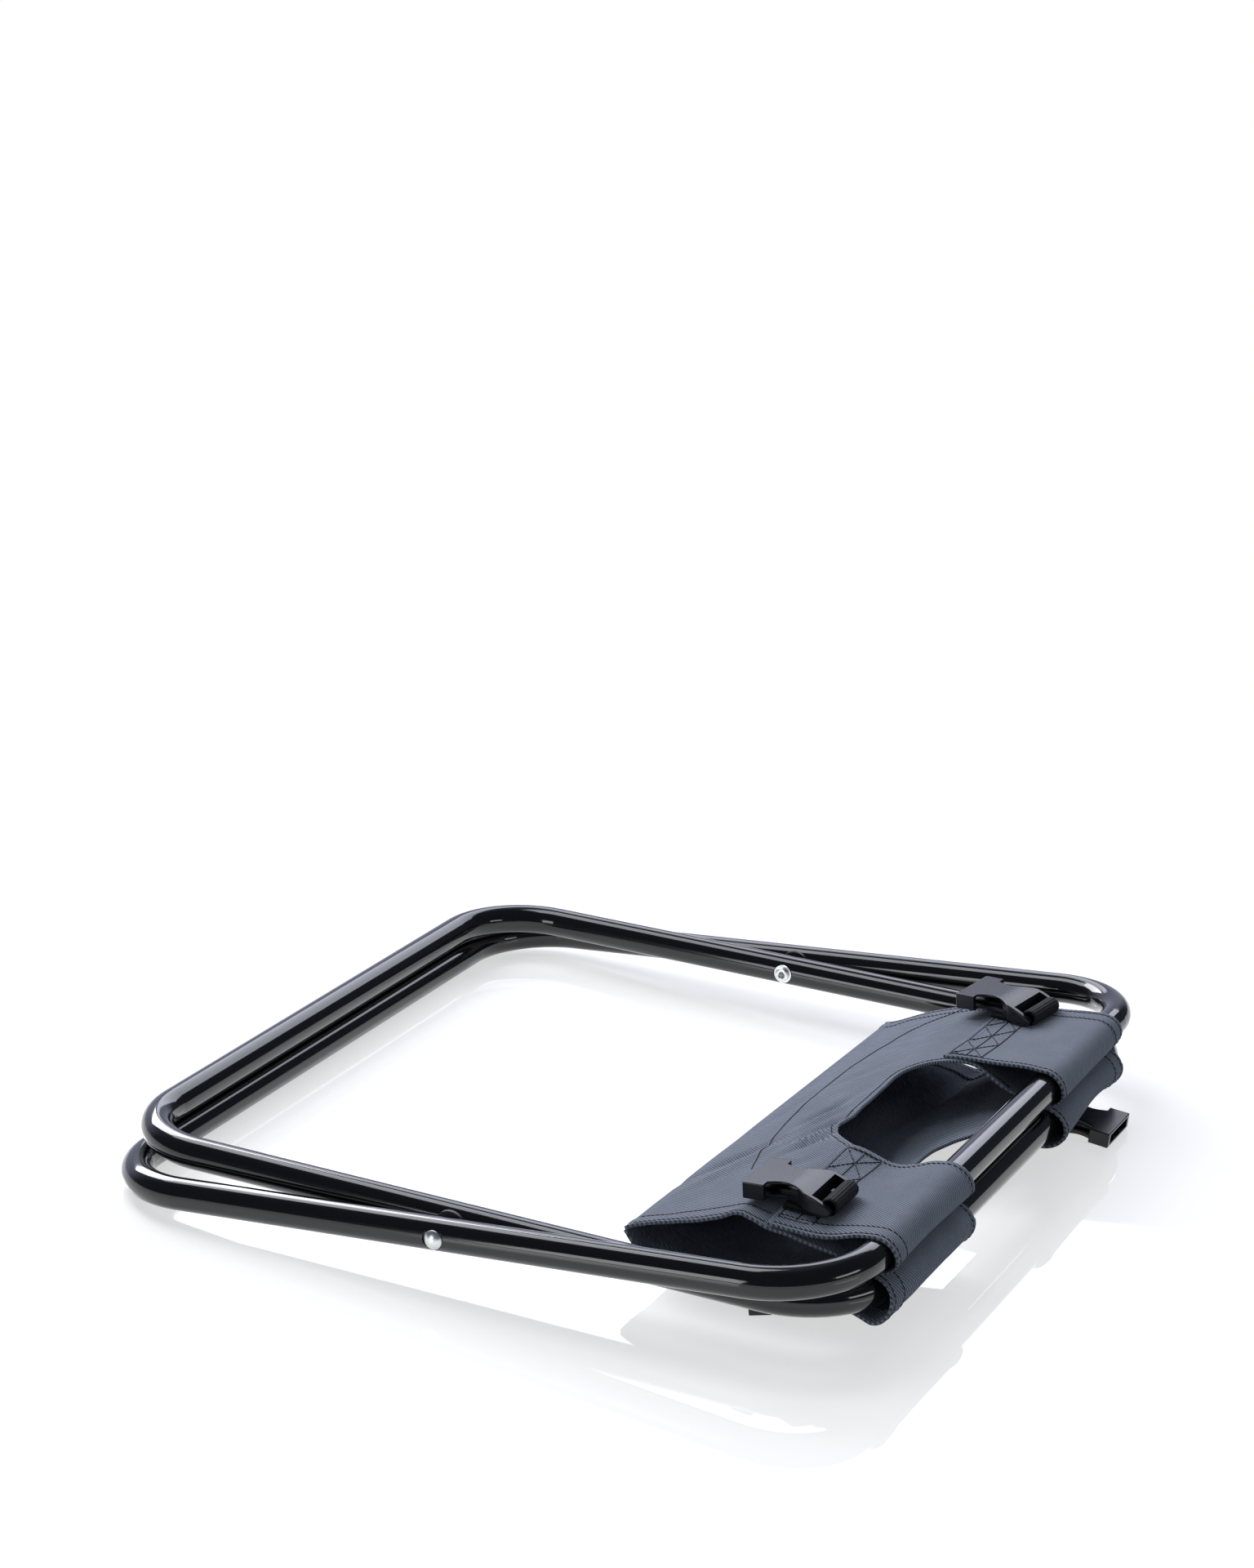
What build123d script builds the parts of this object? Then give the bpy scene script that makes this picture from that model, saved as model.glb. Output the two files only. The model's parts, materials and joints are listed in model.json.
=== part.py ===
from build123d import *
from math import acos, asin, atan2, cos, degrees, hypot, pi, sin, sqrt
import os

# Folding luggage rack: two closed tube frames riveted together like scissors, and a cloth seat
# whose ends wrap both head rails. It lies folded flat: the foot rail is at -X, the head rail
# at +X, and the near side at -Y. Millimetres, +Z up, standing on z = 0.

# ---------------------------------------------------------------- driving dimensions

# Frame tube
tube_diameter = 19.0
tube_wall = 1.2
corner_radius = 52.0          # of the tube's axis
outer_frame_width = 495.0     # between the axes of the side tubes
pivot_to_foot = 223.0         # from the pivot to the axis of the foot rail
pivot_to_head = 234.0         # from the pivot to the axis of the head rail

# Pivot rivets
shank_diameter = 6.0
pivot_clearance = 0.05        # radial, round the shank
spacer_thickness = 3.0
spacer_diameter = 19.0
face_clearance = 0.1          # between the faces that turn on each other
rivet_head_diameter = 11.0
rivet_head_height = 3.2
rivet_rim = 0.6
rivet_tail_diameter = 9.4
rivet_tail_height = 2.2
tail_bore_diameter = 3.4
tail_bore_depth = 5.0
washer_diameter = 12.0
washer_thickness = 1.0
dimple_diameter = 13.0        # the tube is pressed flat under a head or a washer
dimple_depth = 1.0

# Cloth seat
cloth_thickness = 0.8
sleeve_fit = 0.35             # between a head rail and the cloth round it
layer_gap = 0.3               # between the sleeves of the two rails, folded
seat_shift = -7.0             # the seat has slid along its rails towards the near side
seat_half_width = 186.0
bend_notch = 20.0             # the lower back layer is cut back here, clear of the rail's bends
bend_notch_half_width = 180.4
upper_slack = 2.2             # how far the loop round the upper rail stands out past a close fit
lower_slack = 4.0
near_droop = 3.6              # the near loop round the lower rail also hangs this far below a close fit
droop_reach = 24.0            # from the axis of the rail to where that loop's flap begins to droop
flap_length = 62.5            # from the axis of the rail to the sewn free edge
crease_reach = 147.0          # from the axis of each rail to the fold between the halves
crease_skew = 4.0             # how much further it reaches at the near end than at the far end
crease_sag = 5.5              # how far the fold hangs below the middle of the two rails
crease_lean = 6.0             # how much lower it hangs at the far end than at the near end
crease_gap = 0.3
upper_bulge = 0.8
lower_bulge = 6.0
panel_joint = 0.25
grip_half_width = 75.0
grip_depth = 80.5             # from the axis of the rail
grip_corner_radius = 38.0

# Buckle: the socket half of a side-release buckle, with the webbing loop that holds it
webbing_width = 30.0
webbing_thickness = 1.4
bar_diameter = 4.0
bar_fit = 0.3                 # between the bar and the webbing round it
sewn_fit = 0.15               # between the webbing and the flap
webbing_tail = 26.0           # from the bar to the sewn end
buckle_width = 38.5
buckle_length = 48.0          # from the bar to the mouth
mouth_length = 12.6
mouth_height = 9.6
mouth_rise = 1.1              # underside of the mouth over the axis of the bar
waist_half_width = 11.2
waist_reach = 25.0            # from the bar
waist_flare = 3.0             # how much wider the waist is where it meets the mouth
shoulder_half_width = 16.3
shoulder_reach = 14.5         # from the bar
crown_reach = 22.0            # where the back begins to slope down to the bar
crown_drop = 0.5
horn_clearance = 1.15         # between the edges of the webbing and the horns
horn_fit = 0.05               # how far the horns stand out past the webbing round the bar
slot_reach = 8.2              # from the bar's axis to the front of the webbing slot
body_clearance = 0.6          # between the sewn webbing and the body over it
plate_thickness = 1.7
socket_side_wall = 3.25
socket_depth = 31.0
guide_width = 2.0
guide_height = 1.2
guide_spacing = 11.0
edge_radius = 0.7

# Places of the buckles
upper_bar_reach = 35.0        # from the axis of the rail
lower_bar_reach = 33.0
near_buckle_inset = 33.0      # from the near edge of the seat
far_buckle_inset = 19.0
upper_far_turn = 9.0          # degrees, about the flap's normal
lower_near_turn = 20.0
hung_offset = 3.0             # the lower near buckle hangs this much further out
thrown_bar_reach = 22.0       # the lower far buckle is thrown out under its rail
thrown_offset = 20.0          # towards the middle
thrown_bend = 16.0            # how far its webbing follows the flap before it bends down
thrown_bend_radius = 10.0
floor_gap = 0.05

# ---------------------------------------------------------------- what follows from them

tube_radius = tube_diameter / 2
shank_radius = shank_diameter / 2
pivot_hole_radius = shank_radius + pivot_clearance
pivot_gap = spacer_thickness + face_clearance
inner_frame_width = outer_frame_width - 2 * (tube_diameter + pivot_gap)
outer_straight_half = outer_frame_width / 2 - corner_radius
inner_straight_half = inner_frame_width / 2 - corner_radius
flat_half_height = sqrt(tube_radius**2 - (tube_radius - dimple_depth) ** 2)

sleeve_bore = tube_radius + sleeve_fit
sleeve_radius = sleeve_bore + cloth_thickness
sleeve_middle = sleeve_bore + cloth_thickness / 2
near_edge = seat_shift - seat_half_width
far_edge = seat_shift + seat_half_width

# Folded, the inner frame lies level and the outer frame leans on it at the head rails.
head_pitch = 2 * sleeve_radius + layer_gap
tilt = asin(head_pitch / pivot_to_head)
pivot_height = tube_radius + pivot_to_foot * sin(tilt)

webbing_bore = bar_diameter / 2 + bar_fit
webbing_radius = webbing_bore + webbing_thickness
bar_height = webbing_radius + sewn_fit
tail_top = -webbing_radius + 2 * webbing_thickness
horn_radius = webbing_radius + horn_fit
slot_half_width = webbing_width / 2 + horn_clearance
mouth_top = mouth_rise + mouth_height
mouth_back = buckle_length - mouth_length
buckle_half_width = buckle_width / 2

# The thrown buckle lies on its horns and on the lower edge of its mouth.
lying_slope = asin(horn_radius / hypot(buckle_length, mouth_rise)) + atan2(mouth_rise, buckle_length)
thrown_bar_height = horn_radius + floor_gap
thrown_drop = pivot_height - thrown_bar_height

# The lower near buckle hangs under its flap until its mouth meets the floor.
hung_bar_height = pivot_height - sleeve_radius - bar_height
hang_slope = asin((hung_bar_height - floor_gap) / hypot(buckle_length, mouth_top)) - atan2(
    mouth_top, buckle_length
)

# The origin is under the middle of the folded rack.
foot_reach = pivot_to_foot + tube_radius
thrown_reach = buckle_length * cos(lying_slope) + mouth_top * sin(lying_slope)
head_reach = pivot_to_head - thrown_bar_reach + thrown_reach
pivot_point = Vector((foot_reach - head_reach) / 2, 0, pivot_height)

inner_plane = Plane(origin=pivot_point)
outer_plane = Plane(origin=pivot_point, x_dir=(cos(tilt), 0, sin(tilt)), z_dir=(-sin(tilt), 0, cos(tilt)))

# Sections of the two halves of the seat, drawn from the axis of the rail: x runs along the side
# tubes towards the pivot, and y points away from the other half.
upper_section = Plane(
    origin=outer_plane.from_local_coords(Vector(pivot_to_head, 0, 0)),
    x_dir=(-cos(tilt), 0, -sin(tilt)),
    z_dir=(0, 1, 0),
)
lower_section = Plane(
    origin=inner_plane.from_local_coords(Vector(pivot_to_head, 0, 0)),
    x_dir=(-1, 0, 0),
    z_dir=(0, -1, 0),
)
rails_middle = (upper_section.origin + lower_section.origin) / 2
bisector = Vector(-cos(tilt / 2), 0, -sin(tilt / 2))
fold_reach = sqrt(crease_reach**2 - (head_pitch / 2) ** 2)
crease_middle = rails_middle + bisector * fold_reach - Vector(0, 0, crease_sag)

os.makedirs("parts", exist_ok=True)


def save(solid, name):
    """Label a finished piece and write it as its own file."""
    solid.label = name
    export_step(solid, f"parts/{name}.step")


# ---------------------------------------------------------------- frames


def side_plane(plane, distance, side):
    """The plane across the pivot's axis, this far from the middle, facing outwards."""
    return Plane(
        origin=plane.origin + Vector(0, side * distance, 0),
        x_dir=plane.x_dir,
        z_dir=(0, side, 0),
    )


def make_frame(plane, width, pressed_side):
    """A closed loop of tube with two pivot holes, pressed flat round them on one side."""
    half_width = width / 2
    flat_face = half_width + pressed_side * (tube_radius - dimple_depth)
    corners = [
        (pivot_to_head, half_width),
        (-pivot_to_foot, half_width),
        (-pivot_to_foot, -half_width),
        (pivot_to_head, -half_width),
    ]
    with BuildPart() as frame:
        with BuildLine(plane) as tube_axis:
            FilletPolyline(*corners, radius=corner_radius, close=True)
        start = tube_axis.line @ 0
        with BuildSketch(Plane(origin=start, z_dir=tube_axis.line % 0)):
            Circle(tube_radius)
            Circle(tube_radius - tube_wall, mode=Mode.SUBTRACT)
        sweep(path=tube_axis.line)
        for side in (-1, 1):
            with BuildSketch(side_plane(plane, flat_face, side)):
                Rectangle(dimple_diameter, 2 * flat_half_height)
            extrude(amount=-pressed_side * tube_wall)
            with BuildSketch(side_plane(plane, flat_face, side)):
                Circle(dimple_diameter / 2)
            extrude(amount=pressed_side * tube_radius, mode=Mode.SUBTRACT)
            with BuildSketch(side_plane(plane, half_width, side)):
                Circle(pivot_hole_radius)
            extrude(amount=tube_diameter, both=True, mode=Mode.SUBTRACT)
    return frame.part


save(make_frame(outer_plane, outer_frame_width, 1), "outer_tube")
save(make_frame(inner_plane, inner_frame_width, -1), "inner_tube")

# ---------------------------------------------------------------- pivots

head_seat = outer_frame_width / 2 + tube_radius - dimple_depth
washer_seat = inner_frame_width / 2 - tube_radius + dimple_depth
tail_seat = washer_seat - washer_thickness - face_clearance
tail_end = tail_seat - rivet_tail_height
spacer_face = inner_frame_width / 2 + tube_radius + face_clearance / 2
head_radius = rivet_head_diameter / 2
tail_radius = rivet_tail_diameter / 2
bore_radius = tail_bore_diameter / 2
roll_radius = rivet_tail_height / 2
dome_height = rivet_head_height - rivet_rim
dome_radius = (head_radius**2 + dome_height**2) / (2 * dome_height)

for side_name, side in (("near", -1), ("far", 1)):
    # Domed head outside, and a tail rolled over the washer inside
    with BuildPart() as rivet:
        with BuildSketch(Plane(origin=pivot_point, x_dir=(1, 0, 0), z_dir=(0, 0, side))):
            with BuildLine():
                RadiusArc(
                    (head_radius, head_seat + rivet_rim),
                    (0, head_seat + rivet_head_height),
                    -dome_radius,
                )
                Polyline(
                    (head_radius, head_seat + rivet_rim),
                    (head_radius, head_seat),
                    (shank_radius, head_seat),
                    (shank_radius, tail_seat),
                    (tail_radius - roll_radius, tail_seat),
                )
                ThreePointArc(
                    (tail_radius - roll_radius, tail_seat),
                    (tail_radius, tail_end + roll_radius),
                    (tail_radius - roll_radius, tail_end),
                )
                ThreePointArc(
                    (tail_radius - roll_radius, tail_end),
                    (bore_radius + roll_radius * 0.3, tail_end + roll_radius * 0.3),
                    (bore_radius, tail_end + roll_radius),
                )
                Polyline(
                    (bore_radius, tail_end + roll_radius),
                    (bore_radius, tail_end + tail_bore_depth),
                    (0, tail_end + tail_bore_depth),
                    (0, head_seat + rivet_head_height),
                )
            make_face()
        revolve(axis=Axis(pivot_point, (0, 1, 0)))
    save(rivet.part, f"rivet_{side_name}")

    with BuildPart() as spacer:
        with BuildSketch(side_plane(inner_plane, spacer_face, side)):
            Circle(spacer_diameter / 2)
            Circle(pivot_hole_radius, mode=Mode.SUBTRACT)
        extrude(amount=spacer_thickness)
        chamfer(spacer.edges().filter_by(GeomType.CIRCLE).group_by(SortBy.RADIUS)[-1], spacer_thickness / 6)
    save(spacer.part, f"spacer_{side_name}")

    with BuildPart() as washer:
        with BuildSketch(side_plane(inner_plane, washer_seat, side)):
            Circle(washer_diameter / 2)
            Circle(pivot_hole_radius, mode=Mode.SUBTRACT)
        extrude(amount=-washer_thickness)
    save(washer.part, f"washer_{side_name}")

# ---------------------------------------------------------------- cloth seat

# The back layer of a sleeve follows the rail for this angle before it leaves for the flap's free edge.
join_height = sleeve_middle - cloth_thickness
touch_turn = pi / 2 + atan2(join_height, flap_length) - acos(sleeve_middle / hypot(flap_length, join_height))


def plan_of(section):
    """The plane of a frame through its head rail, x towards the pivot, z out of the flap."""
    return Plane(origin=section.origin, x_dir=section.x_dir, z_dir=section.y_dir)


def crease_end(side):
    """The crease between the halves, in line with the start of the outer frame's bends."""
    along = Vector(0, side * outer_straight_half, 0)
    return crease_middle + along - bisector * (side * crease_skew / 2) - Vector(0, 0, side * crease_lean / 2)


def make_plan(section, notch_half_width):
    """Everything over the plan of one half of the seat, with the hand grip cut out."""
    plane = plan_of(section)
    under_flap = plane.offset(sleeve_bore)
    middle = plane.to_local_coords(section.origin + Vector(0, seat_shift, 0)).Y
    reach = crease_reach + tube_diameter
    with BuildPart() as plan:
        with BuildSketch(plane):
            with Locations((0, middle)):
                Rectangle(2 * reach, 2 * seat_half_width)
        extrude(amount=crease_reach, both=True)
        with BuildSketch(under_flap):
            with Locations((bend_notch / 2, 0)):
                Rectangle(bend_notch, 4 * notch_half_width)
                Rectangle(bend_notch, 2 * notch_half_width, mode=Mode.SUBTRACT)
        extrude(amount=-crease_reach, mode=Mode.SUBTRACT)
        # The flaps end squarely at the hand grip, and the cloth under them is cut to round corners.
        with BuildSketch(under_flap):
            with Locations((0, middle)):
                Rectangle(2 * reach, 2 * grip_half_width)
        extrude(amount=crease_reach, mode=Mode.SUBTRACT)
        with BuildSketch(under_flap):
            with Locations((0, middle)):
                RectangleRounded(2 * grip_depth, 2 * grip_half_width, grip_corner_radius)
            with Locations((-tube_diameter, middle)):
                Rectangle(2 * tube_diameter, 2 * grip_half_width)
        extrude(amount=-crease_reach, mode=Mode.SUBTRACT)
    return plan.part


for half_name, section, slack, near_loop_droop, bulge, notch_half_width in (
    ("upper", upper_section, upper_slack, 0, upper_bulge, 2 * seat_half_width),
    ("lower", lower_section, lower_slack, near_droop, lower_bulge, bend_notch_half_width),
):
    plan = make_plan(section, notch_half_width)

    # Flap, loose loop round the rail, and the layer back to the flap's free edge
    for side_name, side, droop in (("near", -1, near_loop_droop), ("far", 1, 0)):
        with BuildPart() as sleeve:
            with BuildSketch(section):
                with BuildLine():
                    Polyline(
                        (flap_length, sleeve_middle),
                        (droop_reach, sleeve_middle),
                        (0, sleeve_middle + droop),
                    )
                    EllipticalCenterArc(
                        (0, droop / 2),
                        sleeve_middle + slack,
                        sleeve_middle + droop / 2,
                        start_angle=90,
                        arc_size=180,
                    )
                    ThreePointArc(
                        (0, -sleeve_middle),
                        (sleeve_middle * sin(touch_turn / 2), -sleeve_middle * cos(touch_turn / 2)),
                        (sleeve_middle * sin(touch_turn), -sleeve_middle * cos(touch_turn)),
                    )
                    Line(
                        (sleeve_middle * sin(touch_turn), -sleeve_middle * cos(touch_turn)),
                        (flap_length, join_height),
                    )
                trace(line_width=cloth_thickness)
            extrude(amount=side * section.z_dir.Y * 2 * seat_half_width)
            add(plan, mode=Mode.INTERSECT)
        save(sleeve.part, f"sleeve_{half_name}_{side_name}")

    with BuildPart() as panel:
        for side in (-1, 1):
            end = Plane(
                origin=section.origin + Vector(0, side * outer_straight_half, 0),
                x_dir=section.x_dir,
                z_dir=section.z_dir,
            )
            crease = end.to_local_coords(crease_end(side))
            with BuildSketch(end):
                with BuildLine():
                    SagittaArc(
                        (flap_length + panel_joint, join_height),
                        (crease.X, crease.Y + (cloth_thickness + crease_gap) / 2),
                        bulge,
                    )
                trace(line_width=cloth_thickness)
        loft(ruled=True)
        add(plan, mode=Mode.INTERSECT)
    save(panel.part, f"panel_{half_name}")

# ---------------------------------------------------------------- buckles

# Local frame of a buckle: origin in the middle of the bar, x towards the mouth, z out of the flap.
# The body is its side view and its plan, crossed.
socket_floor = mouth_rise + plate_thickness
socket_top = mouth_top - plate_thickness
crown_height = mouth_top - crown_drop
throat = buckle_length - socket_depth
with BuildPart() as buckle:
    with BuildSketch(Plane.XZ):
        with BuildLine():
            Polyline(
                (0, -horn_radius),
                (shoulder_reach, tail_top + body_clearance),
                (mouth_back, mouth_rise),
                (buckle_length, mouth_rise),
                (buckle_length, mouth_top),
                (crown_reach, crown_height),
            )
            RadiusArc((crown_reach, crown_height), (-horn_radius, 0), -2.0 * crown_reach)
            RadiusArc((-horn_radius, 0), (0, -horn_radius), -horn_radius)
        make_face()
    extrude(amount=buckle_width, both=True)
    with BuildSketch():
        with BuildLine() as plan_line:
            Polyline(
                (buckle_length, 0),
                (buckle_length, buckle_half_width),
                (mouth_back, buckle_half_width),
                (mouth_back, waist_half_width + waist_flare),
            )
            Spline(
                (mouth_back, waist_half_width + waist_flare),
                (waist_reach, waist_half_width),
                (shoulder_reach, shoulder_half_width),
                (0, buckle_half_width),
                tangents=((-1, -0.5), (-1, 0)),
            )
            Polyline((0, buckle_half_width), (-2 * horn_radius, buckle_half_width), (-2 * horn_radius, 0))
            mirror(about=Plane.XZ)
        make_face()
    extrude(amount=2 * mouth_top, both=True, mode=Mode.INTERSECT)
    mouth_edges = buckle.faces().sort_by(Axis.X)[-1].edges()
    side_edges = buckle.edges().filter_by(lambda edge: abs(edge.length - mouth_length) < edge_radius)
    horn_edges = buckle.edges().filter_by(GeomType.CIRCLE)
    fillet(mouth_edges + side_edges + horn_edges, edge_radius)
    # The webbing's way round the bar, and the room over its sewn tail
    with BuildSketch():
        with Locations((slot_reach - 2 * horn_radius, 0)):
            Rectangle(4 * horn_radius, 2 * slot_half_width)
    extrude(amount=2 * mouth_top, both=True, mode=Mode.SUBTRACT)
    with BuildSketch(Plane.XY.offset(tail_top + body_clearance)):
        Rectangle(2 * buckle_length, 2 * slot_half_width)
    extrude(amount=-mouth_top, mode=Mode.SUBTRACT)
    # Socket, wider than the waist so that the prongs show at both sides
    with BuildSketch(Plane.YZ.offset(throat)):
        with Locations((0, (socket_floor + socket_top) / 2)):
            Rectangle(buckle_width - 2 * socket_side_wall, socket_top - socket_floor)
    extrude(amount=2 * socket_depth, mode=Mode.SUBTRACT)
    # Guides for the middle prong
    with BuildSketch(Plane.XY.offset(socket_floor)):
        with Locations((buckle_length - socket_depth / 2, 0)):
            with GridLocations(1, guide_spacing, 1, 2):
                Rectangle(socket_depth - 2 * edge_radius, guide_width)
    extrude(amount=guide_height)
    with BuildSketch(Plane.XZ.offset(-buckle_half_width + edge_radius)):
        Circle(bar_diameter / 2)
    extrude(amount=buckle_width - 2 * edge_radius)

with BuildPart() as tail_loop:
    with BuildSketch(Plane.XZ):
        Circle(webbing_radius)
        with Locations((webbing_tail / 2, tail_top - webbing_thickness)):
            Rectangle(webbing_tail, 2 * webbing_thickness)
        Circle(webbing_bore, mode=Mode.SUBTRACT)
    extrude(amount=webbing_width / 2, both=True)


# The thrown buckle's webbing follows the flap, then bends down and outwards to the bar.
on_flap = sleeve_radius + bar_height
thrown_middle = sleeve_radius + sewn_fit + webbing_thickness
sewn_reach = lower_bar_reach + webbing_tail
with BuildPart() as thrown_loop:
    with BuildSketch(lower_section):
        with BuildLine():
            FilletPolyline(
                (sewn_reach, thrown_middle),
                (sewn_reach - thrown_bend, thrown_middle),
                (thrown_bar_reach, thrown_drop),
                radius=thrown_bend_radius,
            )
        trace(line_width=2 * webbing_thickness)
        with Locations((thrown_bar_reach, thrown_drop)):
            Circle(webbing_radius)
            Circle(webbing_bore, mode=Mode.SUBTRACT)
    extrude(amount=webbing_width / 2, both=True)


def on_seat(section, reach, sideways, turn):
    """A place on a flap: x towards the pivot, z out of the flap, turned about z in degrees."""
    origin = section.origin + section.x_dir * reach + section.y_dir * on_flap + Vector(0, sideways, 0)
    flat = Plane(origin=origin, x_dir=section.x_dir, z_dir=section.y_dir)
    return flat.location * Location((0, 0, 0), (0, 0, turn))


near_bar = near_edge + near_buckle_inset
far_bar = far_edge - far_buckle_inset
upper_near = on_seat(upper_section, upper_bar_reach, near_bar, 0)
upper_far = on_seat(upper_section, upper_bar_reach, far_bar, -upper_far_turn)
lower_near = on_seat(lower_section, lower_bar_reach, near_bar - hung_offset, -lower_near_turn)
hanging = lower_near * Location((0, 0, 0), (0, -degrees(hang_slope), 0))
thrown_side = Vector(0, far_bar - thrown_offset, 0)
thrown_bar = lower_section.origin - Vector(thrown_bar_reach, 0, thrown_drop) + thrown_side
lying = Location(tuple(thrown_bar), (0, degrees(lying_slope), 0))

for place_name, loop, loop_place, buckle_place in (
    ("upper_near", tail_loop, upper_near, upper_near),
    ("upper_far", tail_loop, upper_far, upper_far),
    ("lower_near", tail_loop, lower_near, hanging),
    ("lower_far", thrown_loop, Location(tuple(thrown_side)), lying),
):
    with BuildPart() as webbing:
        add(loop_place * loop.part)
    save(webbing.part, f"webbing_{place_name}")
    with BuildPart() as placed_buckle:
        add(buckle_place * buckle.part)
    save(placed_buckle.part, f"buckle_{place_name}")
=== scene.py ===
import json
import math

import bmesh
import bpy
from mathutils import Matrix, Vector, noise


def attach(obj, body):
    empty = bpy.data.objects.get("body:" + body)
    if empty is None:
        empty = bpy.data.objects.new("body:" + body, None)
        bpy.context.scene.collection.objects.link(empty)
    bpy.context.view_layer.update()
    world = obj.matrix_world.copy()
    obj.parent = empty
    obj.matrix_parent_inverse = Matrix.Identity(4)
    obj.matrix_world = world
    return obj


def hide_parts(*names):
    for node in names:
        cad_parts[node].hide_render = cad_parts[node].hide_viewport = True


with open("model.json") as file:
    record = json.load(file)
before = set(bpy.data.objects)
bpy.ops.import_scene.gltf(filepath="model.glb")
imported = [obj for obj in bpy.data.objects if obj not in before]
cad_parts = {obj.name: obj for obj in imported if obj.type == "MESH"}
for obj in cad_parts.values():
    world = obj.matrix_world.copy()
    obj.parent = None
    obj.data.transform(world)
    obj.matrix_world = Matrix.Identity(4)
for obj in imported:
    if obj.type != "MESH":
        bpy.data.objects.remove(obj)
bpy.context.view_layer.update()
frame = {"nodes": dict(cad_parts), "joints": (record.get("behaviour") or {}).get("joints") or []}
nodes = frame["nodes"]
joints = {joint["name"]: joint for joint in frame["joints"]}
pivot = Vector(joints["fold"]["pos_m"])
print("frame loaded")


# camera

cameraValues = {
    "fromPivot": (0.8397, -1.7891, 0.8280),
    "forward": (-0.4106, 0.8586, -0.3070),
    "up": (-0.1668, 0.2602, 0.9510),
    "lens": 80.69,
    "sensor": 36,
    "clip": (0.05, 50),
}


def addCamera(values):
    forward = Vector(values["forward"]).normalized()
    right = forward.cross(Vector(values["up"])).normalized()
    up = right.cross(forward)
    camera = bpy.data.objects.new("camera", bpy.data.cameras.new("camera"))
    camera.data.lens = values["lens"]
    camera.data.sensor_width = values["sensor"]
    camera.data.clip_start, camera.data.clip_end = values["clip"]
    turn = Matrix((right, up, -forward)).transposed().to_4x4()
    camera.matrix_world = Matrix.Translation(pivot + Vector(values["fromPivot"])) @ turn
    bpy.context.collection.objects.link(camera)
    bpy.context.scene.camera = camera


addCamera(cameraValues)


# small helpers for the shader trees

def feed(tree, node, inputs):
    for socket, value in inputs.items():
        if isinstance(value, bpy.types.NodeSocket):
            tree.links.new(value, node.inputs[socket])
        else:
            node.inputs[socket].default_value = value
    return node


def put(tree, kind, inputs=None, **settings):
    node = tree.nodes.new("ShaderNode" + kind)
    for setting, value in settings.items():
        setattr(node, setting, value)
    return feed(tree, node, inputs or {})


def newMaterial(name):
    material = bpy.data.materials.new(name)
    material.use_nodes = True
    return material, material.node_tree, material.node_tree.nodes["Principled BSDF"]


def objectPlace(tree):
    return put(tree, "TexCoord").outputs["Object"]


def mathNode(tree, operation, first, second=0.0):
    return put(tree, "Math", {0: first, 1: second}, operation=operation).outputs["Value"]


def spread(tree, value, low, high, fromLow=0.0, fromHigh=1.0):
    inputs = {"Value": value, "From Min": fromLow, "From Max": fromHigh}
    return put(tree, "MapRange", {**inputs, "To Min": low, "To Max": high}).outputs["Result"]


def colourBetween(tree, factor, first, second):
    ramp = put(tree, "ValToRGB", {"Fac": factor})
    ramp.color_ramp.elements[0].color = (*first, 1)
    ramp.color_ramp.elements[1].color = (*second, 1)
    return ramp.outputs["Color"]


def mottle(tree, place, scale, detail, **inputs):
    noiseInputs = {"Vector": place, "Scale": scale, "Detail": detail, **inputs}
    return put(tree, "TexNoise", noiseInputs).outputs["Fac"]


def bumped(tree, height, strength, depth):
    inputs = {"Height": height, "Strength": strength, "Distance": depth}
    return put(tree, "Bump", inputs).outputs["Normal"]


# studio: lamps, the white surround and the glossy floor

lampValues = {
    "backSoftbox": {
        "at": (-0.5, 2.0, 1.5), "aim": (0.0, 0.0, 0.0), "size": (2.4, 1.0),
        "power": 22, "color": (0.86, 0.89, 1.0),
    },
    "leftSoftbox": {
        "at": (-1.70, 0.95, 1.30), "aim": (0.0, 0.0, 0.0), "size": (1.1, 0.9),
        "power": 30, "color": (0.96, 0.95, 1.0),
    },
    "overheadSoftbox": {
        "at": (-0.9, 0.3, 1.7), "aim": (0.0, 0.0, 0.0), "size": (0.8, 1.2),
        "power": 12, "color": (0.93, 0.96, 1.0),
    },
    "sideStrip": {
        "at": (2.0, -0.25, 0.55), "aim": (0.2, -0.2, 0.0), "size": (0.9, 0.28),
        "power": 3.0, "color": (0.95, 0.97, 1.0),
    },
    "frontSoftbox": {
        "at": (-0.74, -2.3, 0.46), "aim": (0.0, -0.2, 0.05), "size": (0.65, 0.8),
        "power": 6.5, "color": (0.95, 0.97, 1.0),
    },
}


def addLamp(name, values):
    lamp = bpy.data.lights.new(name, "AREA")
    lamp.shape = "RECTANGLE"
    lamp.size, lamp.size_y = values["size"]
    lamp.energy = values["power"]
    lamp.color = values["color"]
    box = bpy.data.objects.new(name, lamp)
    box.location = Vector(values["at"])
    towards = Vector(values["aim"]) - box.location
    box.rotation_euler = towards.to_track_quat("-Z", "Y").to_euler()
    bpy.context.collection.objects.link(box)


for lampName, lampSetting in lampValues.items():
    addLamp(lampName, lampSetting)

worldValues = {
    "fill": 0.17,
    "fillColor": (0.90, 0.95, 1.0, 1),
    "wallTop": (0.34, 0.52),      # the white wall behind fades upwards between these,
    "wallSide": (-0.14, 0.14),    # to the right between these
    "wallFront": (-0.1, 0.3),     # and to the front between these
    "darkRoom": (0.060, 0.072, 0.095),
    "whiteWall": (0.50, 0.53, 0.70),
    "overWall": 0.30,             # how much of it is left above
}


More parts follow.
